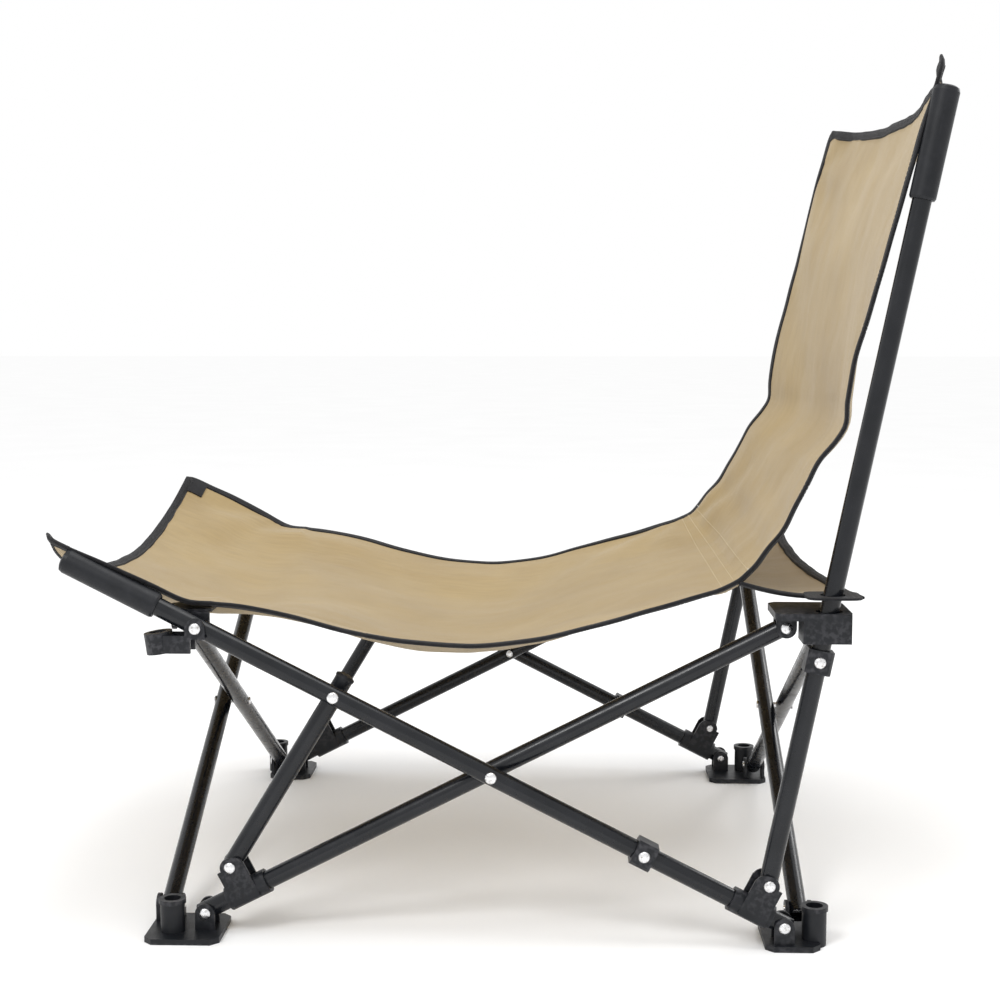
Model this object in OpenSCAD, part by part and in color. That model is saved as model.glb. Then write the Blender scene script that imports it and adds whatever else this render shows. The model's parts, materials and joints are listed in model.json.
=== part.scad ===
// Low folding camp chair. The front faces -Y, the sitter's left is +X, the floor is z = 0.
// Eight crossed bars make four scissors, and fold the chair into an upright bundle.

/* [Frame] */
// Length of a scissor bar between its two end pivots
bar_len = 556; // [520:1:600]
// Slope of the scissor bars when the chair is open, in degrees
open_angle = 27; // [24:1:30]
// Height of the foot pivots above the floor
foot_pivot_z = 19; // [17:0.5:22]
// Outer diameter of every tube
tube_d = 16; // [14:0.5:16]
// Wall of every tube
tube_wall = 1.2; // [0.8:0.1:2]
// Length of the long bar from the scissor centre to its front tip
long_bar_front = 403; // [380:1:420]

/* [Back posts] */
// Lean of the back posts from upright when the chair is open, in degrees
post_lean = 11.4; // [8:0.1:14]
// Length of a back post above its lower pivot
post_len = 670; // [600:1:700]
// Radius of the guide that a post slides through in the rear hub
guide_r = 11; // [10:0.1:12]

/* [Sliders] */
// Place of the front slider's lug on the low bar, from the scissor centre
front_slider_at = 240; // [230:1:242]
// Place of the rear slider's lug on the long bar, from the scissor centre
rear_slider_at = 250; // [240:1:252]
// Height of a slider's pivot above the bar it runs on
lug_rise = 26; // [25:0.5:28]
// Place of the strut's upper pivot on the long bar, from the scissor centre
strut_at = 149; // [140:1:160]

/* [Sling] */
// Width of the sling between the side frames
sling_w = 540; // [500:1:544]
// Thickness of the sling
sling_t = 2; // [1.5:0.1:3]

/* [Hidden] */
$fn = 48;

// Half the distance between opposite corner pivots, and the heights of the scissor centre and the hubs
half = bar_len / 2 * cos(open_angle);
centre_z = foot_pivot_z + bar_len / 2 * sin(open_angle);
hub_z = foot_pivot_z + bar_len * sin(open_angle);

// Planes of the side bars, counted outwards from the corner pivot, and of the cross bars
low_plane = 17;
long_plane = 37;
inner_plane = 17.5;
outer_plane = 35.5;

tube_r = tube_d / 2;
tube_end = 6;
rivet_r = 2.5;
rivet_hole_r = 2.58;
rivet_head_r = 5;
rivet_head_h = 2.4;
cheek_gap = tube_r + 0.4;
cheek_t = 3;
cheek_r = 8.5;
lug_t = 2.2;
sleeve_r = 11;
socket_r = 7.2;

// Turns a part drawn in the front left quarter (outwards is +X and +Y) into each corner
module corner(sx, sy) {
    scale_x = sx < 0 ? 1 : 0;
    scale_y = sy < 0 ? 1 : 0;
    mirror([scale_x, 0, 0])
        mirror([0, scale_y, 0])
            children();
}

// A round tube along +Y from y = -back to y = front, with bores along X at the given places
module tube(back, front, bores) {
    difference() {
        translate([0, -back, 0])
            rotate([-90, 0, 0])
                cylinder(r = tube_r, h = back + front);
        translate([0, -back - 1, 0])
            rotate([-90, 0, 0])
                cylinder(r = tube_r - tube_wall, h = back + front + 2);
        for (at = bores)
            translate([-tube_r - 1, at, 0])
                rotate([0, 90, 0])
                    cylinder(r = rivet_hole_r, h = 2 * tube_r + 2);
    }
}

// A rivet along +X: domed head at x = reach, rolled end at x = -reach, plain shank between
module rivet(reach) {
    rotate([0, 90, 0])
        rotate_extrude()
            polygon(concat(
                [[0, -reach - 1.6], [2, -reach - 1.6], [3.6, -reach - 1.2], [4, -reach], [rivet_r, -reach]],
                [[rivet_r, reach], [rivet_head_r, reach]],
                [for (a = [15:15:90]) [rivet_head_r * cos(a), reach + rivet_head_h * sin(a)]]));
}

// One half of a rivet, which stops inside a cheek of the given thickness
module rivet_half(reach, thickness) {
    translate([reach, 0, 0])
        rotate([0, 90, 0])
            rotate_extrude()
                polygon(concat(
                    [[0, -thickness + 0.1], [rivet_r, -thickness + 0.1], [rivet_r, 0], [rivet_head_r, 0]],
                    [for (a = [15:15:90]) [rivet_head_r * cos(a), rivet_head_h * sin(a)]]));
}

// Two cheeks across X about a pivot, from that pivot down (or up) to the plate they stand on
module cheeks(toward) {
    for (side = [-1, 1])
        translate([side * (cheek_gap + cheek_t / 2), 0, 0])
            difference() {
                union() {
                    rotate([0, 90, 0])
                        cylinder(r = cheek_r, h = cheek_t, center = true);
                    translate([-cheek_t / 2, -cheek_r, min(toward, 0)])
                        cube([cheek_t, 2 * cheek_r, abs(toward)]);
                }
                rotate([0, 90, 0])
                    cylinder(r = rivet_hole_r, h = cheek_t + 2, center = true);
            }
}

// A plate with chamfered corners, from (x0, y0) to (x1, y1)
module chamfered_plate(x0, y0, x1, y1, z, h, c) {
    translate([0, 0, z])
        linear_extrude(h)
            polygon([[x0 + c, y0], [x1 - c, y0], [x1, y0 + c], [x1, y1 - c],
                [x1 - c, y1], [x0 + c, y1], [x0, y1 - c], [x0, y0 + c]]);
}

// A foot: base plate, two pairs of cheeks, and an empty peg socket at its outer corner
base_h = 5;
socket_at = [31, 27];
module foot(side_plane, cross_plane) {
    color([0.07, 0.07, 0.08])
        translate([half, half, 0])
            difference() {
                union() {
                    chamfered_plate(-14, -16, 53, cross_plane + 13, 0, base_h, 7);
                    translate([side_plane, 0, foot_pivot_z])
                        cheeks(-foot_pivot_z + base_h - 1);
                    translate([0, cross_plane, foot_pivot_z])
                        rotate([0, 0, 90])
                            cheeks(-foot_pivot_z + base_h - 1);
                    translate([socket_at[0], socket_at[1], 0])
                        cylinder(r = 10.4, h = 34);
                    translate([socket_at[0], socket_at[1], 30])
                        cylinder(r = 11.6, h = 4);
                }
                translate([socket_at[0], socket_at[1], base_h + 1])
                    cylinder(r = socket_r, h = 40);
            }
}

// A hub's top plate and the cheeks of its cross bar
hub_plate_z = hub_z + 10.2;
hub_plate_h = 3;
module cross_bar_cheeks(cross_plane) {
    translate([half, half + cross_plane, hub_z])
        rotate([0, 0, 90])
            cheeks(hub_plate_z - hub_z + 1);
}

// The front hub holds the long bar, which runs on past it, and carries an empty socket in front
front_socket_y = 31;
front_socket_tilt = 8;
module hub_front(cross_plane) {
    color([0.07, 0.07, 0.08])
        difference() {
            union() {
                translate([half, half, 0])
                    chamfered_plate(-12, -9, long_plane - cheek_gap - 2.8, cross_plane + 13,
                        hub_plate_z, hub_plate_h, 5);
                cross_bar_cheeks(cross_plane);
                translate([half + long_plane, half, hub_z])
                    cheeks(-9);
                translate([half + long_plane - cheek_gap - cheek_t, half - cheek_r, hub_z])
                    cube([cheek_t, 2 * cheek_r, hub_plate_z - hub_z + 1]);
                for (side = [-1, 1])
                    translate([half + long_plane + side * (cheek_gap + cheek_t / 2) - cheek_t / 2,
                        half + 4, hub_z - 21])
                        cube([cheek_t, front_socket_y - 8, 15]);
                translate([half + long_plane, half + front_socket_y, hub_z - 22])
                    rotate([-front_socket_tilt, 0, 0])
                        cylinder(r = 12, h = 18);
            }
            translate([half + long_plane, half + front_socket_y, hub_z - 22])
                rotate([-front_socket_tilt, 0, 0])
                    translate([0, 0, -5])
                        cylinder(r = socket_r, h = 40);
            translate([half + long_plane, half, hub_z])
                rotate([0, 90, 0])
                    cylinder(r = rivet_hole_r, h = 2 * (cheek_gap + cheek_t) + 2, center = true);
        }
}

// The rear hub holds the low bar, and its block guides the sliding back post
guide_y = rear_slider_at * cos(open_angle) + lug_rise * sin(open_angle)
    + (hub_z - post_pivot_z()) * tan(post_lean) - half;
function post_pivot_y() = rear_slider_at * cos(open_angle) + lug_rise * sin(open_angle);
function post_pivot_z() = centre_z - rear_slider_at * sin(open_angle) + lug_rise * cos(open_angle);
guide_half = 20;
module hub_rear(cross_plane) {
    color([0.07, 0.07, 0.08])
        difference() {
            union() {
                translate([half, half, 0])
                    chamfered_plate(-12, -12, 52, cross_plane + 16,
                        hub_plate_z, hub_plate_h + 3, 6);
                cross_bar_cheeks(cross_plane);
                translate([half + low_plane, half, hub_z])
                    cheeks(hub_plate_z - hub_z + 1);
                translate([half + long_plane - 15, half + guide_y - guide_half, hub_z - 9])
                    cube([30, 2 * guide_half, hub_plate_z - hub_z + 14]);
            }
            translate([half + long_plane, half + guide_y, hub_z])
                rotate([-post_lean, 0, 0])
                    cylinder(r = guide_r, h = 80, center = true);
        }
}

// Moves a bar drawn along +Y about its centre pivot into the plane of a side scissor
module side_bar(plane, slope) {
    translate([half + plane, 0, centre_z])
        rotate([slope, 0, 0])
            children();
}

module low_bar() {
    color([0.05, 0.05, 0.06])
        side_bar(low_plane, open_angle)
            tube(bar_len / 2 + tube_end, bar_len / 2 + tube_end, [-bar_len / 2, 0, bar_len / 2]);
}

module long_bar() {
    color([0.05, 0.05, 0.06])
        side_bar(long_plane, -open_angle)
            tube(long_bar_front - 3, bar_len / 2 + tube_end,
                [-bar_len / 2, -strut_at, 0, bar_len / 2]);
}

// A cross bar in the plane y = +-(half + plane); dir 1 rises towards +X
module cross_bar(sy, plane, dir) {
    color([0.05, 0.05, 0.06])
        translate([0, sy * (half + plane), centre_z])
            rotate([0, -dir * open_angle, 0])
                rotate([0, 0, -90])
                    tube(bar_len / 2 + tube_end, bar_len / 2 + tube_end, [-bar_len / 2, 0, bar_len / 2]);
}

// The strut runs from the long bar down to the front slider
strut_top = [-strut_at * cos(open_angle), centre_z + strut_at * sin(open_angle)];
strut_foot = [-front_slider_at * cos(open_angle) - lug_rise * sin(open_angle),
    centre_z - front_slider_at * sin(open_angle) + lug_rise * cos(open_angle)];
strut_len = norm(strut_top - strut_foot);
strut_slope = atan2(strut_top[1] - strut_foot[1], strut_top[0] - strut_foot[0]);
strut_over = 13;
module strut_frame() {
    translate([half + low_plane, strut_foot[0], strut_foot[1]])
        rotate([strut_slope, 0, 0])
            children();
}

module strut() {
    color([0.05, 0.05, 0.06])
        strut_frame()
            tube(tube_end, strut_len + strut_over, [strut_len]);
}

module strut_cap() {
    color([0.07, 0.07, 0.08])
        strut_frame()
            translate([0, strut_len + strut_over, 0])
                rotate([-90, 0, 0])
                    union() {
                        translate([0, 0, -8])
                            cylinder(r = tube_r - tube_wall, h = 8);
                        cylinder(r = tube_r + 0.6, h = 1.6);
                        translate([0, 0, 1.6])
                            cylinder(r1 = tube_r + 0.6, r2 = tube_r - 2.4, h = 1.8);
                    }
}

module post_frame() {
    translate([half + long_plane, post_pivot_y(), post_pivot_z()])
        rotate([90 - post_lean, 0, 0])
            children();
}

module post() {
    color([0.05, 0.05, 0.06])
        post_frame()
            tube(tube_end, post_len, [0]);
}

// A closed plastic sleeve over a tube end at y = 0, reaching back to y = -length
module end_sleeve(length) {
    color([0.07, 0.07, 0.08])
        rotate([-90, 0, 0])
            rotate_extrude()
                polygon([[0, 0.2], [0, 4.5], [sleeve_r - 4, 4.5], [sleeve_r - 1, 3], [sleeve_r, 0],
                    [sleeve_r, -length + 2], [sleeve_r - 1, -length], [tube_r, -length], [tube_r, 0.2]]);
}

front_sleeve_len = 84;
module front_sleeve() {
    side_bar(long_plane, 180 - open_angle)
        translate([0, long_bar_front - 3, 0])
            end_sleeve(front_sleeve_len);
}

top_sleeve_len = 88;
module top_sleeve() {
    post_frame()
        translate([0, post_len, 0])
            end_sleeve(top_sleeve_len);
}

// A stop collar: a short block clamped round a tube along Y
module collar_block(half_len) {
    color([0.07, 0.07, 0.08])
        difference() {
            intersection() {
                translate([-sleeve_r, -half_len, -sleeve_r])
                    cube([2 * sleeve_r, 2 * half_len, 2 * sleeve_r]);
                rotate([90, 0, 0])
                    cylinder(r = sleeve_r + 2.6, h = 2 * half_len, center = true);
            }
            rotate([90, 0, 0])
                cylinder(r = tube_r, h = 2 * half_len + 2, center = true);
            rotate([0, 90, 0])
                cylinder(r = rivet_hole_r, h = 60, center = true);
        }
}

bar_collar_at = 145;
collar_half = 9;
module bar_collar() {
    side_bar(long_plane, -open_angle)
        translate([0, bar_collar_at, 0])
            collar_block(collar_half);
}

post_collar_at = 195;
module post_collar() {
    post_frame()
        translate([0, post_collar_at, 0])
            collar_block(collar_half + 1);
}

// A slider: a sleeve that runs on a bar along Y, with a two-cheek lug above it
slider_back = 22;
slider_front = 16;
slider_r = 10.6;
module slider() {
    color([0.07, 0.07, 0.08])
        difference() {
            union() {
                translate([0, -slider_back, 0])
                    rotate([-90, 0, 0])
                        cylinder(r = slider_r, h = slider_back + slider_front);
                for (side = [-1, 1])
                    translate([side * (cheek_gap + lug_t / 2), 0, 0])
                        union() {
                            translate([-lug_t / 2, -13, -7])
                                cube([lug_t, 25, lug_rise + 7]);
                            translate([0, -4, lug_rise - 1])
                                rotate([0, 90, 0])
                                    cylinder(r = cheek_r, h = lug_t, center = true);
                            translate([0, 0, lug_rise])
                                rotate([0, 90, 0])
                                    cylinder(r = cheek_r, h = lug_t, center = true);
                        }
            }
            rotate([90, 0, 0])
                cylinder(r = tube_r + 0.08, h = 80, center = true);
            translate([0, 0, lug_rise])
                rotate([0, 90, 0])
                    cylinder(r = rivet_hole_r, h = 60, center = true);
        }
}

module front_slider() {
    side_bar(low_plane, open_angle)
        translate([0, -front_slider_at, 0])
            mirror([0, 1, 0])
                slider();
}

module rear_slider() {
    side_bar(long_plane, -open_angle)
        translate([0, rear_slider_at, 0])
            slider();
}

// A washer that keeps the two bars of a side scissor apart
module bar_spacer() {
    color([0.07, 0.07, 0.08])
        translate([half + low_plane + tube_r, 0, centre_z])
            rotate([0, 90, 0])
                difference() {
                    cylinder(r = 6, h = long_plane - low_plane - tube_d);
                    translate([0, 0, -1])
                        cylinder(r = rivet_hole_r, h = 10);
                }
}

// Rivets of a foot or hub: one through the side bar's cheeks, one through the cross bar's
module corner_rivets(side_plane, cross_plane, z) {
    color([0.78, 0.79, 0.8])
        union() {
            translate([half + side_plane, half, z])
                rivet(cheek_gap + cheek_t);
            translate([half, half + cross_plane, z])
                rotate([0, 0, 90])
                    rivet(cheek_gap + cheek_t);
        }
}

// Rivets of the long bar: scissor centre, strut and collar
module long_bar_rivets() {
    color([0.78, 0.79, 0.8])
        side_bar(long_plane, -open_angle)
            union() {
                for (at = [0, -strut_at])
                    translate([(low_plane - long_plane) / 2, at, 0])
                        rivet((long_plane - low_plane) / 2 + tube_r);
                for (side = [0, 180])
                    translate([0, bar_collar_at, 0])
                        rotate([0, 0, side])
                            rivet_half(sleeve_r, sleeve_r - tube_r);
            }
}

module front_slider_rivets() {
    color([0.78, 0.79, 0.8])
        translate([half + low_plane, strut_foot[0], strut_foot[1]])
            for (side = [0, 180])
                rotate([0, 0, side])
                    rivet_half(cheek_gap + lug_t, lug_t);
}

module rear_slider_rivets() {
    color([0.78, 0.79, 0.8])
        translate([half + long_plane, post_pivot_y(), post_pivot_z()])
            rivet(cheek_gap + lug_t);
}

module post_rivets() {
    color([0.78, 0.79, 0.8])
        post_frame()
            for (side = [0, 180])
                translate([0, post_collar_at, 0])
                    rotate([0, 0, side])
                        rivet_half(sleeve_r, sleeve_r - tube_r);
}

module cross_rivet(sy) {
    color([0.78, 0.79, 0.8])
        translate([0, sy * (half + (inner_plane + outer_plane) / 2), centre_z])
            rotate([0, 0, sy * 90])
                rivet((outer_plane - inner_plane) / 2 + tube_r);
}

// The sling is one cloth from the front tips to the post tops. Its side profile is two cubic curves
front_tip = [-377.8, 337];
crease = [207, 310];
sling_top = [366, 743];
seat_curve = [front_tip, [-215, 272], [-20, 217], crease];
back_curve = [crease, [285, 375], [310, 490], sling_top];
sling_steps = 12;
function cubic(p, t) = pow(1 - t, 3) * p[0] + 3 * pow(1 - t, 2) * t * p[1]
    + 3 * (1 - t) * pow(t, 2) * p[2] + pow(t, 3) * p[3];
function slope_of(p, t) = let (d = 3 * pow(1 - t, 2) * (p[1] - p[0])
    + 6 * (1 - t) * t * (p[2] - p[1]) + 3 * pow(t, 2) * (p[3] - p[2])) d / norm(d);
function side_of(p, t, off) = cubic(p, t) + off * [-slope_of(p, t)[1], slope_of(p, t)[0]];

// A cloth panel along part t0..t1 of a curve, as wide as the sling
module panel(p, t0, t1) {
    color([0.72, 0.62, 0.42])
        rotate([90, 0, 90])
            translate([0, 0, -sling_w / 2])
                linear_extrude(sling_w)
                    polygon(concat(
                        [for (i = [0:sling_steps]) side_of(p, t0 + (t1 - t0) * i / sling_steps, 0)],
                        [for (i = [sling_steps:-1:0])
                            side_of(p, t0 + (t1 - t0) * i / sling_steps, sling_t)]));
}

seat_split = 0.5;
module sling_seat_front() { panel(seat_curve, 0, seat_split - 0.001); }
module sling_seat_rear() { panel(seat_curve, seat_split, 0.99); }
module sling_back() { panel(back_curve, 0.01, 1); }

// The web runs from the crease back to the posts, just above the rear hubs
web_curve = [[214, 302], [240, 295], [275, 293], [308, 296]];
module sling_web() { panel(web_curve, 0, 1); }

corner(1, -1) foot(low_plane, outer_plane);  // foot_front_left
corner(-1, -1) foot(low_plane, inner_plane);  // foot_front_right
corner(1, 1) foot(long_plane, inner_plane);  // foot_rear_left
corner(-1, 1) foot(long_plane, outer_plane);  // foot_rear_right
corner(1, -1) hub_front(inner_plane);  // hub_front_left
corner(-1, -1) hub_front(outer_plane);  // hub_front_right
corner(1, 1) hub_rear(outer_plane);  // hub_rear_left
corner(-1, 1) hub_rear(inner_plane);  // hub_rear_right
low_bar();  // low_bar_left
corner(-1, 1) low_bar();  // low_bar_right
long_bar();  // long_bar_left
corner(-1, 1) long_bar();  // long_bar_right
cross_bar(-1, inner_plane, 1);  // front_cross_bar_inner
cross_bar(-1, outer_plane, -1);  // front_cross_bar_outer
cross_bar(1, inner_plane, -1);  // rear_cross_bar_inner
cross_bar(1, outer_plane, 1);  // rear_cross_bar_outer
strut();  // strut_left
corner(-1, 1) strut();  // strut_right
post();  // post_left
corner(-1, 1) post();  // post_right
front_slider();  // front_slider_left
corner(-1, 1) front_slider();  // front_slider_right
rear_slider();  // rear_slider_left
corner(-1, 1) rear_slider();  // rear_slider_right
bar_collar();  // bar_collar_left
corner(-1, 1) bar_collar();  // bar_collar_right
post_collar();  // post_collar_left
corner(-1, 1) post_collar();  // post_collar_right
front_sleeve();  // front_sleeve_left
corner(-1, 1) front_sleeve();  // front_sleeve_right
top_sleeve();  // top_sleeve_left
corner(-1, 1) top_sleeve();  // top_sleeve_right
strut_cap();  // strut_cap_left
corner(-1, 1) strut_cap();  // strut_cap_right
bar_spacer();  // bar_spacer_left
corner(-1, 1) bar_spacer();  // bar_spacer_right
corner(1, -1) corner_rivets(low_plane, outer_plane, foot_pivot_z);  // rivets_foot_front_left
corner(-1, -1) corner_rivets(low_plane, inner_plane, foot_pivot_z);  // rivets_foot_front_right
corner(1, 1) corner_rivets(long_plane, inner_plane, foot_pivot_z);  // rivets_foot_rear_left
corner(-1, 1) corner_rivets(long_plane, outer_plane, foot_pivot_z);  // rivets_foot_rear_right
corner(1, -1) corner_rivets(long_plane, inner_plane, hub_z);  // rivets_hub_front_left
corner(-1, -1) corner_rivets(long_plane, outer_plane, hub_z);  // rivets_hub_front_right
corner(1, 1) corner_rivets(low_plane, outer_plane, hub_z);  // rivets_hub_rear_left
corner(-1, 1) corner_rivets(low_plane, inner_plane, hub_z);  // rivets_hub_rear_right
long_bar_rivets();  // rivets_long_bar_left
corner(-1, 1) long_bar_rivets();  // rivets_long_bar_right
front_slider_rivets();  // rivets_front_slider_left
corner(-1, 1) front_slider_rivets();  // rivets_front_slider_right
rear_slider_rivets();  // rivets_rear_slider_left
corner(-1, 1) rear_slider_rivets();  // rivets_rear_slider_right
post_rivets();  // rivets_post_left
corner(-1, 1) post_rivets();  // rivets_post_right
cross_rivet(-1);  // rivet_front_cross
cross_rivet(1);  // rivet_rear_cross
sling_seat_front();
sling_seat_rear();
sling_back();
sling_web();
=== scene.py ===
"""Low folding camp chair: tan sling with black binding on a black tube frame."""

import json
import math

import bpy
import numpy as np
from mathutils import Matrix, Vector, noise


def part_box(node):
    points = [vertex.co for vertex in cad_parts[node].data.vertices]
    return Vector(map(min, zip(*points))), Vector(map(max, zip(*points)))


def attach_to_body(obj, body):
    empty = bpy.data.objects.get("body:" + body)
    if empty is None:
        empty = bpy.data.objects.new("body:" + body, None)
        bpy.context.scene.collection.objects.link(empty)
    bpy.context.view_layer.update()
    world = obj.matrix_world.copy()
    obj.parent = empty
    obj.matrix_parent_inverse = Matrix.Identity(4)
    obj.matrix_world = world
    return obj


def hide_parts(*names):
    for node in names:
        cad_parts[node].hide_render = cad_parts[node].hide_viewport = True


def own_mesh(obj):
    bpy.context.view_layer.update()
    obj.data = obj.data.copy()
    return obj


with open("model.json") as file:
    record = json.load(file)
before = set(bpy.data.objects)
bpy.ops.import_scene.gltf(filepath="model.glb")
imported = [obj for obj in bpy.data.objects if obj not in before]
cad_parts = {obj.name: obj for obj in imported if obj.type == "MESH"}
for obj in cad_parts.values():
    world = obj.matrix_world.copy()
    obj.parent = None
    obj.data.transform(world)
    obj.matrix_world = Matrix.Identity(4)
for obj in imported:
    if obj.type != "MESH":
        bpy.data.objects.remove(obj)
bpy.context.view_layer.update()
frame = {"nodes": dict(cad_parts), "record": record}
MM = 0.001

# The long bars and the posts stand in the planes x = -SIDE_X and x = SIDE_X
SIDE_X = sum(corner.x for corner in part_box("long_bar_left")) / 2


# ---------------------------------------------------------------- materials
def new_material(name, color, rough, metallic=0.0):
    """A principled material, and the tools to add nodes to it."""
    mat = bpy.data.materials.new(name)
    mat.use_nodes = True
    shader = mat.node_tree.nodes["Principled BSDF"]
    shader.inputs["Base Color"].default_value = (*color, 1)
    shader.inputs["Roughness"].default_value = rough
    shader.inputs["Metallic"].default_value = metallic
    return mat, mat.node_tree, shader


def noise_node(tree, coords, scale, detail=3.0, stretch=None):
    """A noise texture on the given coordinates, stretched along one axis if asked."""
    if stretch:
        mapping = tree.nodes.new("ShaderNodeMapping")
        mapping.inputs["Scale"].default_value = stretch
        tree.links.new(coords, mapping.inputs["Vector"])
        coords = mapping.outputs["Vector"]
    tex = tree.nodes.new("ShaderNodeTexNoise")
    tex.inputs["Scale"].default_value = scale
    tex.inputs["Detail"].default_value = detail
    tree.links.new(coords, tex.inputs["Vector"])
    return tex.outputs["Fac"]


def ramp(tree, value, low, high, at=(0.3, 0.7)):
    """A colour ramp between two colours, or two greys."""
    node = tree.nodes.new("ShaderNodeValToRGB")
    for element, place, color in zip(node.color_ramp.elements, at, (low, high)):
        element.position = place
        element.color = (*color, 1) if hasattr(color, "__len__") else (color, color, color, 1)
    tree.links.new(value, node.inputs["Fac"])
    return node.outputs["Color"]


def maths(tree, operation, *values):
    """One maths node on sockets or numbers."""
    node = tree.nodes.new("ShaderNodeMath")
    node.operation = operation
    for socket, value in zip(node.inputs, values):
        if isinstance(value, (int, float)):
            socket.default_value = value
        else:
            tree.links.new(value, socket)
    return node.outputs[0]


def bump(tree, shader, height, strength, distance):
    """Adds a bump, on top of one that is there already."""
    node = tree.nodes.new("ShaderNodeBump")
    node.inputs["Strength"].default_value = strength
    node.inputs["Distance"].default_value = distance
    tree.links.new(height, node.inputs["Height"])
    before = shader.inputs["Normal"].links
    if before:
        tree.links.new(before[0].from_socket, node.inputs["Normal"])
    tree.links.new(node.outputs["Normal"], shader.inputs["Normal"])


def object_coords(tree):
    """The object's own coordinates, in metres."""
    return tree.nodes.new("ShaderNodeTexCoord").outputs["Object"]


def mix_color(tree, factor, a, b, mode="MIX"):
    """One colour mixed with, or multiplied by, another."""
    node = tree.nodes.new("ShaderNodeMix")
    node.data_type = "RGBA"
    node.blend_type = mode
    for socket, value in ((node.inputs[0], factor), (node.inputs[6], a), (node.inputs[7], b)):
        if isinstance(value, float):
            socket.default_value = value
        elif isinstance(value, tuple):
            socket.default_value = (*value, 1)
        else:
            tree.links.new(value, socket)
    return node.outputs[2]


def edge_wear(tree, low, high):
    """White on convex edges, broken up by noise."""
    point = tree.nodes.new("ShaderNodeNewGeometry").outputs["Pointiness"]
    edge = ramp(tree, point, 0.0, 1.0, (low, high))
    spots = ramp(tree, noise_node(tree, object_coords(tree), 220, 4), 0.0, 1.0, (0.45, 0.62))
    return maths(tree, "MULTIPLY", edge, spots)


def tube_paint():
    """Gloss black enamel with faint orange peel, dust and rubbed patches."""
    mat, tree, shader = new_material("tube_paint", (0.008, 0.009, 0.012), 0.2)
    coords = object_coords(tree)
    dust = noise_node(tree, coords, 38, 6)
    color = ramp(tree, dust, (0.003, 0.004, 0.006), (0.009, 0.010, 0.013), (0.35, 0.8))
    tree.links.new(color, shader.inputs["Base Color"])
    rough = ramp(tree, noise_node(tree, coords, 90, 5), 0.16, 0.34)
    tree.links.new(rough, shader.inputs["Roughness"])
    shader.inputs["Specular IOR Level"].default_value = 0.32
    shader.inputs["Coat Weight"].default_value = 0.12
    shader.inputs["Coat Roughness"].default_value = 0.12
    bump(tree, shader, noise_node(tree, coords, 900, 2), 0.12, 0.0002)
    return mat


def black_plastic():
    """Moulded black nylon: fine spark texture, paler at its edges."""
    mat, tree, shader = new_material("black_plastic", (0.012, 0.013, 0.016), 0.42)
    coords = object_coords(tree)
    base = ramp(tree, noise_node(tree, coords, 60, 5), (0.005, 0.006, 0.008), (0.010, 0.011, 0.014))
    worn = mix_color(tree, edge_wear(tree, 0.53, 0.62), base, (0.035, 0.035, 0.04))
    tree.links.new(worn, shader.inputs["Base Color"])
    shader.inputs["Specular IOR Level"].default_value = 0.3
    rough = ramp(tree, noise_node(tree, coords, 140, 4), 0.38, 0.46)
    tree.links.new(rough, shader.inputs["Roughness"])
    bump(tree, shader, noise_node(tree, coords, 1600, 2), 0.25, 0.0003)
    return mat


def rivet_steel():
    """Bright steel rivet heads with fine turning marks and small stains."""
    mat, tree, shader = new_material("rivet_steel", (0.72, 0.72, 0.73), 0.22, 1.0)
    coords = object_coords(tree)
    stain = ramp(tree, noise_node(tree, coords, 420, 5), (0.42, 0.40, 0.38), (0.80, 0.80, 0.81), (0.3, 0.5))
    tree.links.new(stain, shader.inputs["Base Color"])
    rough = ramp(tree, noise_node(tree, coords, 900, 3), 0.15, 0.36)
    tree.links.new(rough, shader.inputs["Roughness"])
    bump(tree, shader, noise_node(tree, coords, 2600, 2), 0.1, 0.0001)
    return mat


def woven(tree, shader, warp, weft, strength, depth):
    """Over and under threads. Gives the cloth coordinates, which are in metres, and the weave's height."""
    uv = tree.nodes.new("ShaderNodeUVMap")
    split = tree.nodes.new("ShaderNodeSeparateXYZ")
    tree.links.new(uv.outputs["UV"], split.inputs[0])
    across = maths(tree, "SINE", maths(tree, "MULTIPLY", split.outputs[0], 2 * math.pi / warp))
    along = maths(tree, "SINE", maths(tree, "MULTIPLY", split.outputs[1], 2 * math.pi / weft))
    weave = maths(tree, "MULTIPLY", across, along)
    bump(tree, shader, weave, strength, depth)
    return uv.outputs["UV"], weave


def sling_cloth():
    """Tan polyester canvas: plain weave, slubs, soft creases, slightly uneven dye and painted shade in the
    weave's hollows.
    """
    mat, tree, shader = new_material("sling_cloth", (0.5, 0.38, 0.19), 0.78)
    uv, weave = woven(tree, shader, 1.3 * MM, 1.3 * MM, 0.25, 0.0004)
    dye = ramp(tree, noise_node(tree, uv, 7, 5), (0.305, 0.213, 0.088), (0.385, 0.280, 0.124), (0.25, 0.75))
    slub = ramp(tree, noise_node(tree, uv, 420, 3, (1.0, 0.06, 1.0)), 0.90, 1.0, (0.35, 0.6))
    slubbed = mix_color(tree, 1.0, dye, slub, "MULTIPLY")
    # Painted shade: the weave's low points are darkened, standing in for shade between the threads
    weave_hollow_shade = ramp(tree, maths(tree, "MULTIPLY_ADD", weave, 0.5, 0.5), 0.9, 1.0, (0.0, 1.0))
    tree.links.new(mix_color(tree, 0.6, slubbed, weave_hollow_shade, "MULTIPLY"), shader.inputs["Base Color"])
    bump(tree, shader, noise_node(tree, uv, 26, 4, (1.0, 0.35, 1.0)), 0.35, 0.004)
    bump(tree, shader, noise_node(tree, uv, 75, 3), 0.2, 0.0015)
    shader.inputs["Sheen Weight"].default_value = 0.25
    shader.inputs["Sheen Roughness"].default_value = 0.5
    return mat


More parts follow.
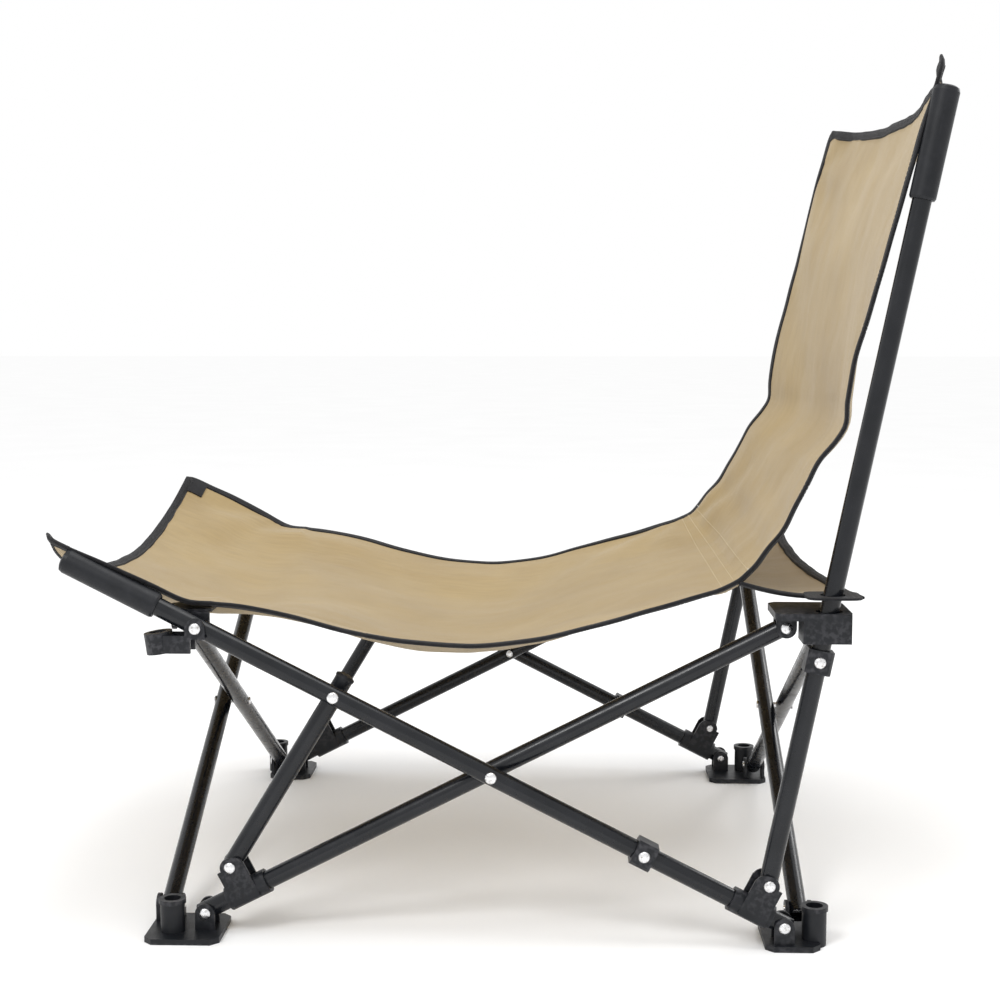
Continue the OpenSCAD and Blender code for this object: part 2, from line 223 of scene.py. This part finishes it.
def binding_tape():
    """Black grosgrain tape: ribs across its length and a little lint."""
    mat, tree, shader = new_material("binding_tape", (0.012, 0.012, 0.014), 0.7)
    uv, _ = woven(tree, shader, 5 * MM, 1.1 * MM, 0.6, 0.0006)
    lint = ramp(tree, noise_node(tree, uv, 160, 5), (0.004, 0.004, 0.006), (0.014, 0.014, 0.016))
    tree.links.new(lint, shader.inputs["Base Color"])
    shader.inputs["Specular IOR Level"].default_value = 0.25
    shader.inputs["Sheen Weight"].default_value = 0.06
    return mat


def thread(name, color):
    """Twisted sewing thread."""
    mat, tree, shader = new_material(name, color, 0.6)
    coords = object_coords(tree)
    dark = tuple(0.7 * c for c in color)
    tree.links.new(ramp(tree, noise_node(tree, coords, 700, 2), dark, color), shader.inputs["Base Color"])
    bump(tree, shader, noise_node(tree, coords, 1500, 2), 0.3, 0.0002)
    return mat


PAINT = tube_paint()
PLASTIC = black_plastic()
STEEL = rivet_steel()
CLOTH = sling_cloth()
TAPE = binding_tape()
TAN_THREAD = thread("tan_thread", (0.62, 0.52, 0.33))
BLACK_THREAD = thread("black_thread", (0.03, 0.03, 0.034))
WHITE_THREAD = thread("white_thread", (0.75, 0.74, 0.70))


# ---------------------------------------------------------------- frame parts
def dress_cad_nodes():
    """Each CAD node that shows gets its material, and moulded parts get rounded edges."""
    slots = {row["node"]: row["material_slot"] for row in frame["record"]["subparts"]}
    finish = {"tube_paint": PAINT, "black_plastic": PLASTIC, "rivet_steel": STEEL, "sling_cloth": CLOTH}
    for name, node in frame["nodes"].items():
        node.data.materials.clear()
        node.data.materials.append(finish[slots[name]])
        if slots[name] == "black_plastic":
            edge = node.modifiers.new("soft_edges", "BEVEL")
            edge.width = 0.7 * MM
            edge.segments = 2
            edge.limit_method = "ANGLE"
            edge.angle_limit = math.radians(40)


# ---------------------------------------------------------------- the sling's shape
# The side edge of the cloth as (y, z) in mm, from the front tip to the top of the back.
EDGE = [
    (-377, 348), (-352, 337), (-322, 324), (-288, 307), (-262, 293), (-247, 289), (-222, 288), (-197, 284),
    (-165, 277), (-122, 265), (-79, 256), (-40, 252), (-5, 252), (40, 258), (78, 268),
    (135, 284), (173, 296), (196, 303), (210, 312), (229, 334), (247, 360), (264, 392), (274, 411),
    (288, 428), (296, 442), (297, 462), (301, 494), (308, 525), (318, 562), (328, 600), (338, 638),
    (348, 680), (357, 715), (364, 742),
]
# How far the side edge is pulled in, as (distance from the front tip, pull) in mm
WAIST = [(0, 0), (80, 0), (160, 14), (340, 24), (640, 18), (740, 24), (835, 16), (975, 2), (1200, 0)]
SEAT_SPLIT_Y = -0.109
CREASE_Y = 0.209
HALF_WIDTH = SIDE_X + 1.5 * MM
CORNER_R = 14 * MM
CLOTH_T = 1.2 * MM
# The cloth's grid: the step between rows, the number of columns, and the rows of the web
ROW = 4 * MM
COLUMNS = 72
WEB_ROWS = 26
# The rear corners of the web
WEB_END_Y = 0.312
WEB_END_Z = 0.297


def smooth_line(points, step):
    """A Catmull-Rom line through the points, resampled at an even step."""
    p = np.array(points, float)
    p = np.vstack([2 * p[0] - p[1], p, 2 * p[-1] - p[-2]])
    line = []
    for i in range(1, len(p) - 2):
        for t in np.linspace(0, 1, 24, endpoint=False):
            a, b, c, d = p[i - 1 : i + 3]
            line.append(
                0.5 * (2 * b + (c - a) * t + (2 * a - 5 * b + 4 * c - d) * t**2
                       + (3 * b - a - 3 * c + d) * t**3)
            )
    line.append(p[-2])
    return resample(np.array(line), step)


def resample(line, step):
    """The same line with points at an even distance, close to step."""
    length = run_length(line)
    count = max(2, int(round(length[-1] / step)) + 1)
    at = np.linspace(0, length[-1], count)
    return np.stack([np.interp(at, length, line[:, k]) for k in range(line.shape[1])], axis=1)


def run_length(line):
    """The distance along a line at each of its points."""
    return np.concatenate([[0], np.cumsum(np.linalg.norm(np.diff(line, axis=0), axis=1))])


def bell(x, centre, width):
    """A smooth hump of height 1."""
    return np.exp(-(((x - centre) / width) ** 2))


def sling_grid():
    """Cloth points [row, column, xyz] from the front hem to the top hem, and each row's arc length."""
    edge = smooth_line(np.array(EDGE) * MM, ROW)
    arc = run_length(edge)
    total = arc[-1]
    tangent = np.gradient(edge, axis=0)
    tangent /= np.linalg.norm(tangent, axis=1)[:, None]
    normal = np.stack([-tangent[:, 1], tangent[:, 0]], axis=1)
    crease_arc = np.interp(CREASE_Y, edge[:, 0], arc)

    # How far the middle hangs below its edges, as (drop in mm, place along the cloth, reach)
    drops = (
        (62, 0, 0.17), (30, crease_arc * 0.55, 0.2), (16, crease_arc, 0.08),
        (26, crease_arc + 0.2, 0.16), (24, total, 0.1),
    )
    sag = sum(drop * bell(arc, place, reach) for drop, place, reach in drops) * MM
    # The free edges between the sleeves pull inwards, averaged over rows so that they curve
    at, pull = np.array(WAIST).T * MM
    rows = 13
    pulled = np.pad(np.interp(arc, at, pull), rows // 2, mode="edge")
    half = HALF_WIDTH - np.convolve(pulled, np.ones(rows) / rows, "valid")
    # The four corners are rounded
    ends = np.minimum(arc, total - arc)
    inset = np.where(ends < CORNER_R, CORNER_R - np.sqrt(CORNER_R**2 - (CORNER_R - ends) ** 2 + 1e-12), 0)
    half = half - inset

    # Columns from -1 at the right edge to 1 at the left one, closer together near the edges
    spread = math.pi / 2 * 0.9
    u = np.sin(np.linspace(-1, 1, COLUMNS + 1) * spread) / math.sin(spread)
    grid = np.zeros((len(arc), len(u), 3))
    for j, side in enumerate(u):
        hang = sag * (1 - np.abs(side) ** 2.2)
        grid[:, j, 0] = half * side
        grid[:, j, 1] = edge[:, 0] - normal[:, 0] * hang
        grid[:, j, 2] = edge[:, 1] - normal[:, 1] * hang
    # The front hem bows back between the tips, and the top hem dips between the posts
    bow = (1 - u[None, :] ** 2)
    grid[:, :, 1] += 18 * MM * bow * bell(arc, 0, 0.05)[:, None]
    grid[:, :, 2] -= 14 * MM * bow * bell(arc, total, 0.06)[:, None]

    wrinkle = wrinkles(arc, u, total, crease_arc)
    grid[:, :, 1] += normal[:, 0][:, None] * wrinkle
    grid[:, :, 2] += normal[:, 1][:, None] * wrinkle
    for hub in ("hub_front_left", "hub_front_right"):
        drape_over(grid, *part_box(hub))
    return grid, arc, crease_arc


def drape_over(grid, low, high):
    """Lifts the cloth where it would sink into a part that it lies on, given as a box."""
    clear, slope, soft, widest = 4 * MM, 0.45, 2 * MM, 0.12
    away_x = np.maximum(0, np.maximum(low.x - grid[:, :, 0], grid[:, :, 0] - high.x))
    away_y = np.maximum(0, np.maximum(low.y - grid[:, :, 1], grid[:, :, 1] - high.y))
    away = np.hypot(away_x, away_y)
    short = high.z + clear - slope * away - grid[:, :, 2]
    grid[:, :, 2] += np.where(away < widest, soft * np.log1p(np.exp(np.clip(short / soft, -30, 30))), 0)


def wrinkles(arc, u, total, crease_arc):
    """Height of the cloth's creases over its smooth shape, in metres."""
    s, x = np.meshgrid(arc, u * HALF_WIDTH, indexing="ij")
    height = np.zeros_like(s)
    # Tension folds fan out from where the cloth hangs: the front sleeves, the crease and the top sleeves
    for corner_s, reach, count in ((0.12, 0.34, 7), (crease_arc - 0.02, 0.30, 9), (total - 0.04, 0.32, 6)):
        for sign in (-1, 1):
            ds, dx = s - corner_s, x - sign * HALF_WIDTH
            dist = np.hypot(ds, dx)
            angle = np.arctan2(dx * -sign, ds)
            fan = np.sin(angle * count + 3.0 * sign + 14 * dist)
            height += 2.6 * MM * fan * np.exp(-dist / reach) * np.clip(dist / 0.07, 0, 1)
    # Soft lengthwise waves of the slack seat, and cross folds where the seat turns into the back
    height += 1.8 * MM * np.sin(34 * x + 5 * np.sin(6 * s)) * bell(s, crease_arc * 0.5, 0.22)
    height += 1.4 * MM * np.sin(150 * (s - crease_arc) + 9 * x) * bell(s, crease_arc + 0.03, 0.05)
    for i in range(s.shape[0]):
        for j in range(s.shape[1]):
            p = Vector((s[i, j] * 9, x[i, j] * 13, 0.5))
            height[i, j] += 3.4 * MM * noise.noise(p) + 1.3 * MM * noise.noise(p * 3.1)
    # The seam at the crease pulls the cloth in
    height -= 1.6 * MM * bell(s, crease_arc, 0.006)
    return height * (1 - 0.5 * np.abs(u)[None, :] ** 8)


def web_grid(crease_row, crease_normals):
    """The web, from the back of the sling's crease to just past the posts."""
    start = crease_row - crease_normals * 2.5 * MM
    side = np.linspace(-1, 1, len(start))
    middle = 1 - side**2
    end_y, end_z = WEB_END_Y - 14 * MM * middle, WEB_END_Z - 5 * MM * middle
    end = np.stack([side * (SIDE_X - 14 * MM), end_y, end_z], axis=1)
    back = np.linspace(0, 1, WEB_ROWS)[:, None, None]
    grid = start[None] * (1 - back) + end[None] * back
    grid[:, :, 2] -= 5 * MM * np.sin(back[:, :, 0] * math.pi)
    for i in range(1, grid.shape[0]):
        for j in range(grid.shape[1]):
            grid[i, j, 2] += 1.2 * MM * noise.noise(Vector(grid[i, j] * 25))
    return grid, run_length(grid[:, 0])


# ---------------------------------------------------------------- mesh makers
def mesh_object(name, verts, faces, uvs, material):
    """A smooth shaded mesh object with UVs in metres, one for each vertex."""
    mesh = bpy.data.meshes.new(name)
    mesh.from_pydata([tuple(v) for v in verts], [], faces)
    layer = mesh.uv_layers.new(name="UVMap")
    loops = np.zeros(len(mesh.loops), np.int32)
    mesh.loops.foreach_get("vertex_index", loops)
    layer.data.foreach_set("uv", np.array(uvs, np.float32)[loops].ravel())
    mesh.materials.append(material)
    mesh.shade_smooth()
    mesh.set_sharp_from_angle(angle=math.radians(50))
    mesh.validate()
    obj = bpy.data.objects.new(name, mesh)
    bpy.context.scene.collection.objects.link(obj)
    return obj


def grid_normals(grid):
    """The cloth's unit normal at each grid point, on the sitter's side."""
    down, across = np.gradient(grid, axis=0), np.gradient(grid, axis=1)
    n = np.cross(across, down)
    return n / np.linalg.norm(n, axis=2)[:, :, None]


def cloth_piece(name, grid, normals, arc, material):
    """A closed thin sheet: the grid, its underside and a rim."""
    rows, cols = grid.shape[:2]
    top = (grid + normals * CLOTH_T / 2).reshape(-1, 3)
    under = (grid - normals * CLOTH_T / 2).reshape(-1, 3)
    verts = np.vstack([top, under])
    uv = np.stack([grid[:, :, 0].ravel(), np.repeat(arc, cols)], axis=1)
    n = rows * cols
    faces = []
    for i in range(rows - 1):
        for j in range(cols - 1):
            a, b, c, d = i * cols + j, i * cols + j + 1, (i + 1) * cols + j + 1, (i + 1) * cols + j
            faces += [(a, b, c, d), (n + d, n + c, n + b, n + a)]
    for a, b in rim_pairs(rows, cols):
        faces.append((b, a, n + a, n + b))
    return mesh_object(name, verts, faces, np.vstack([uv, uv]), material)


def rim_pairs(rows, cols):
    """Neighbouring vertices round the grid's outside, in order."""
    loop = list(range(cols)) + [i * cols + cols - 1 for i in range(1, rows)]
    loop += [(rows - 1) * cols + j for j in range(cols - 2, -1, -1)]
    loop += [i * cols for i in range(rows - 2, 0, -1)]
    return list(zip(loop, loop[1:] + loop[:1]))


def sweep(name, line, normals, inwards, section, material):
    """A strip of the given cross-section (inwards, normal) along a line, with closed ends."""
    count, sides = len(line), len(section)
    verts, uvs = [], []
    run = run_length(line)
    girth = np.linspace(0, 18 * MM, sides)
    for i in range(count):
        for k, (a, b) in enumerate(section):
            verts.append(line[i] + inwards[i] * a + normals[i] * b)
            uvs.append((girth[k], run[i]))
    faces = []
    for i in range(count - 1):
        for k in range(sides):
            a, b = i * sides + k, i * sides + (k + 1) % sides
            faces.append((a, b, b + sides, a + sides))
    faces.append(tuple(range(sides - 1, -1, -1)))
    faces.append(tuple((count - 1) * sides + k for k in range(sides)))
    return mesh_object(name, verts, faces, uvs, material)


# The binding's cross-section: tape folded over the cloth's edge, as (inwards, along the normal)
TAPE_W = 9 * MM
TAPE_T = 1.7 * MM
# The sewing: length of a stitch with its gap, radius of the thread, and the seams' height on the cloth
STITCH = 4.2 * MM
THREAD_R = 0.32 * MM
SEAM_LIFT = CLOTH_T / 2 + 0.1 * MM
TAPE_SECTION = [
    (TAPE_W, 0.75 * MM), (TAPE_W - 1 * MM, TAPE_T), (TAPE_W / 2, TAPE_T + 0.2 * MM), (1 * MM, TAPE_T),
    (-0.8 * MM, TAPE_T * 0.6), (-1.3 * MM, 0), (-0.8 * MM, -TAPE_T * 0.6), (1 * MM, -TAPE_T),
    (TAPE_W / 2, -TAPE_T - 0.2 * MM), (TAPE_W - 1 * MM, -TAPE_T), (TAPE_W, -0.75 * MM),
]


def edge_frames(line, normals):
    """Unit vectors along the cloth, pointing in from the edge, for each point of the line."""
    along = np.gradient(line, axis=0)
    along /= np.linalg.norm(along, axis=1)[:, None]
    inwards = np.cross(normals, along)
    return inwards / np.linalg.norm(inwards, axis=1)[:, None]


def thin_out(line, normals, step):
    """Drops points that lie closer than step, so that a swept strip doesn't fold at a corner."""
    keep = [0]
    for i in range(1, len(line) - 1):
        if np.linalg.norm(line[i] - line[keep[-1]]) >= step:
            keep.append(i)
    keep.append(len(line) - 1)
    return line[keep], normals[keep]


def stitches(name, line, normals, inwards, offset, lift, material, pitch=STITCH):
    """Short raised threads in a row beside a line, on both faces of the cloth."""
    path = resample(np.hstack([line + inwards * offset, normals]), pitch)
    points, ups = path[:, :3], path[:, 3:]
    verts, faces = [], []
    half, r, sides = pitch * 0.34, THREAD_R, 6
    for face in (1, -1):
        for i in range(1, len(points) - 1):
            along = points[i + 1] - points[i - 1]
            along /= np.linalg.norm(along)
            up = ups[i] / np.linalg.norm(ups[i]) * face
            side = np.cross(along, up)
            centre = points[i] + up * lift
            base = len(verts)
            for end, size in ((-half, 0.35), (-half * 0.6, 1), (half * 0.6, 1), (half, 0.35)):
                for k in range(sides):
                    a = k * math.pi / 3
                    verts.append(centre + along * end + (side * math.cos(a) + up * math.sin(a)) * r * size)
            for ring in range(3):
                for k in range(sides):
                    a, b = base + ring * sides + k, base + ring * sides + (k + 1) % sides
                    faces.append((a, b, b + sides, a + sides))
            faces.append(tuple(base + k for k in range(sides - 1, -1, -1)))
            faces.append(tuple(base + 3 * sides + k for k in range(sides)))
    uvs = np.zeros((len(verts), 2))
    return mesh_object(name, verts, faces, uvs, material)


def attach(obj, body):
    """Rides on a body, with its own copy of its mesh."""
    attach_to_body(obj, body)
    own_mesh(obj)
    return obj


def edge_line(grid, normals, sides):
    """Points and normals along the chosen sides of a grid, in order, each named after its way round."""
    rows, cols = grid.shape[:2]
    walks = {
        "right_down": [(i, 0) for i in range(rows - 1, -1, -1)],
        "left_up": [(i, cols - 1) for i in range(rows)],
        "hem_left": [(0, j) for j in range(cols)],
        "top_right": [(rows - 1, j) for j in range(cols - 1, -1, -1)],
    }
    line, ups = [], []
    for name in sides:
        for i, j in walks[name]:
            if line and np.linalg.norm(grid[i, j] - line[-1]) < 1e-7:
                continue
            line.append(grid[i, j])
            ups.append(normals[i, j])
    return np.array(line), np.array(ups)


def evened(vectors, reach):
    """The same unit vectors, averaged along the line over reach neighbours each way."""
    padded = np.pad(vectors, ((reach, reach), (0, 0)), mode="edge")
    count = len(vectors)
    mean = sum(padded[k : k + count] for k in range(2 * reach + 1))
    return mean / np.linalg.norm(mean, axis=1)[:, None]


def bind(name, grid, normals, sides, body):
    """Black tape folded over the chosen sides of a cloth, with its two rows of stitches."""
    line, ups = edge_line(grid, normals, sides)
    line, ups = thin_out(line, ups, 2.6 * MM)
    ups = evened(ups, 4)
    inwards = evened(edge_frames(line, ups), 1)
    tape = sweep(name, line, ups, inwards, TAPE_SECTION, TAPE)
    sewing = stitches(name + "_stitches", line, ups, inwards, TAPE_W - 2 * MM, TAPE_T + 0.15 * MM,
                      BLACK_THREAD)
    return [attach(piece, body) for piece in (tape, sewing)]


def seam(name, grid, normals, row, body):
    """One row of tan stitches across the cloth along a grid row."""
    line, ups = grid[row, 2:-2], normals[row, 2:-2]
    return attach(stitches(name, line, ups, edge_frames(line, ups), 0, SEAM_LIFT, TAN_THREAD), body)


def make_sling():
    """The sling as three pieces that meet in the middle of the seat and at the crease, and the web."""
    grid, arc, crease_arc = sling_grid()
    normals = grid_normals(grid)
    edge_y = grid[:, 0, 1]
    split = int(np.argmin(np.abs(edge_y - SEAT_SPLIT_Y)))
    crease = int(np.argmin(np.abs(arc - crease_arc)))
    parts = (
        ("seat_front_cloth", 0, split, "seat_front", "sling_seat_front"),
        ("seat_rear_cloth", split, crease, "seat_rear", "sling_seat_rear"),
        ("back_cloth", crease, len(arc) - 1, "backrest", "sling_back"),
    )
    for name, start, end, body, node in parts:
        rows = slice(start, end + 1)
        g, n = grid[rows], normals[rows]
        cloth = cloth_piece(name, g, n, arc[rows], CLOTH)
        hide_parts(node)
        attach(cloth, body)
        if name == "seat_front_cloth":
            trim = bind("seat_front_binding", g, n, ("right_down", "hem_left", "left_up"), body)
            trim += [corner_patch(f"hem_patch_{side}", g, n, side, body) for side in ("left", "right")]
        elif name == "seat_rear_cloth":
            trim = bind("seat_rear_binding_right", g, n, ("right_down",), body)
            trim += bind("seat_rear_binding_left", g, n, ("left_up",), body)
            trim += [seam(f"crease_seam_{k}", g, n, len(g) - k, body) for k in (2, 4)]
        else:
            trim = bind("back_binding", g, n, ("left_up", "top_right", "right_down"), body)
            trim.append(seam("crease_seam_back", g, n, 2, body))
            trim += [bartack(f"bartack_{side}", g, n, side, body) for side in ("left", "right")]
    make_web(grid[crease], normals[crease])


def corner_patch(name, grid, normals, side, body):
    """A black reinforcing patch sewn over one end of the front hem."""
    rows = slice(1, 7)
    cols = slice(-9, -1) if side == "left" else slice(1, 9)
    g, n = grid[rows, cols], normals[rows, cols]
    arc = np.arange(g.shape[0]) * ROW
    return attach(cloth_piece(name, g + n * 1.6 * MM, n, arc, TAPE), body)


def bartack(name, grid, normals, side, body):
    """A short dense row of white stitches at the seam's end."""
    cols = slice(-7, -2) if side == "left" else slice(2, 7)
    line, ups = grid[3, cols], normals[3, cols]
    return attach(stitches(name, line, ups, edge_frames(line, ups), 0, TAPE_T + 0.3 * MM, WHITE_THREAD,
                           1.2 * MM), body)


def make_web(crease_row, crease_normals):
    """The web of cloth behind the crease, with its binding and its two tabs."""
    grid, arc = web_grid(crease_row, crease_normals)
    normals = grid_normals(grid)
    cloth = cloth_piece("web_cloth", grid, normals, arc, CLOTH)
    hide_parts("sling_web")
    attach(cloth, "backrest")
    trim = bind("web_binding", grid, normals, ("left_up", "top_right", "right_down"), "backrest")
    trim += [web_tab(f"web_tab_{side}", side) for side in ("left", "right")]


def web_tab(name, side):
    """A black tab at the web's rear corner, with the post through its eyelet."""
    sign = 1 if side == "left" else -1
    count, hole, reach = 48, 10.5 * MM, (19 * MM, 23 * MM)
    centre = Vector((sign * SIDE_X, 0.284, 0.3005))
    verts, uvs = [], []
    for lift in (1 * MM, -1 * MM):
        for ring in (0, 1):
            for k in range(count):
                c, t = math.cos(2 * math.pi * k / count), math.sin(2 * math.pi * k / count)
                square = (abs(c) ** 5 + abs(t) ** 5) ** -0.2
                x = hole * c if ring == 0 else reach[0] * c * square
                y = hole * t if ring == 0 else reach[1] * t * square
                verts.append(centre + Vector((x, y, lift)))
                uvs.append((x, y))
    faces = []
    for k in range(count):
        m = (k + 1) % count
        for a, b in ((0, 1), (1, 3), (3, 2), (2, 0)):
            faces.append((a * count + k, b * count + k, b * count + m, a * count + m))
    return attach(mesh_object(name, verts, faces, uvs, TAPE), "backrest")


# ---------------------------------------------------------------- stage
def area_light(name, place, target, size, power):
    """A round soft light that points at the target."""
    light = bpy.data.lights.new(name, "AREA")
    light.shape = "DISK"
    light.size = size
    light.energy = power
    obj = bpy.data.objects.new(name, light)
    obj.location = place
    obj.rotation_mode = "QUATERNION"
    obj.rotation_quaternion = (Vector(target) - Vector(place)).to_track_quat("-Z", "Y")
    bpy.context.scene.collection.objects.link(obj)


def make_stage():
    """A pale floor, a white world and soft studio lights."""
    floor_mat, tree, shader = new_material("floor", (0.97, 0.97, 0.97), 0.95)
    grain = noise_node(tree, object_coords(tree), 3, 3)
    tree.links.new(ramp(tree, grain, 0.965, 0.985), shader.inputs["Base Color"])
    shader.inputs["Specular IOR Level"].default_value = 0.0
    mesh = bpy.data.meshes.new("floor")
    reach = 30.0
    mesh.from_pydata([(-reach, -reach, 0), (reach, -reach, 0), (reach, reach, 0), (-reach, reach, 0)], [],
                     [(0, 1, 2, 3)])
    mesh.materials.append(floor_mat)
    floor = bpy.data.objects.new("floor", mesh)
    bpy.context.scene.collection.objects.link(floor)
    world = bpy.data.worlds.new("studio")
    world.use_nodes = True
    sky = world.node_tree.nodes["Background"]
    sky.inputs["Color"].default_value = (1, 1, 1, 1)
    sky.inputs["Strength"].default_value = 1.0
    bpy.context.scene.world = world
    area_light("key", (1.7, -0.9, 2.1), (0, 0, 0.3), 0.9, 22)
    area_light("top", (0.2, 0.3, 2.4), (0, 0, 0.3), 1.4, 14)
    area_light("rear", (-1.2, 1.8, 1.4), (0, 0, 0.3), 0.8, 8)


# The camera looks at the chair's left side, from the photograph's distance, height and angle
CAMERA_AT = (1.692, 0.056, 0.522)
CAMERA_YAW = math.radians(1.97)
CAMERA_PITCH = math.radians(5.77)
CAMERA_LENS = 61.3


def make_camera():
    """The camera, with the plain view transform."""
    data = bpy.data.cameras.new("camera")
    data.sensor_width = 36
    data.lens = CAMERA_LENS
    cam = bpy.data.objects.new("camera", data)
    forward = Vector((
        -math.cos(CAMERA_YAW) * math.cos(CAMERA_PITCH),
        -math.sin(CAMERA_YAW) * math.cos(CAMERA_PITCH),
        -math.sin(CAMERA_PITCH),
    ))
    cam.location = CAMERA_AT
    cam.rotation_mode = "QUATERNION"
    cam.rotation_quaternion = forward.to_track_quat("-Z", "Y")
    bpy.context.scene.collection.objects.link(cam)
    bpy.context.scene.camera = cam
    bpy.context.scene.view_settings.view_transform = "Standard"


make_camera()
make_stage()
dress_cad_nodes()
make_sling()
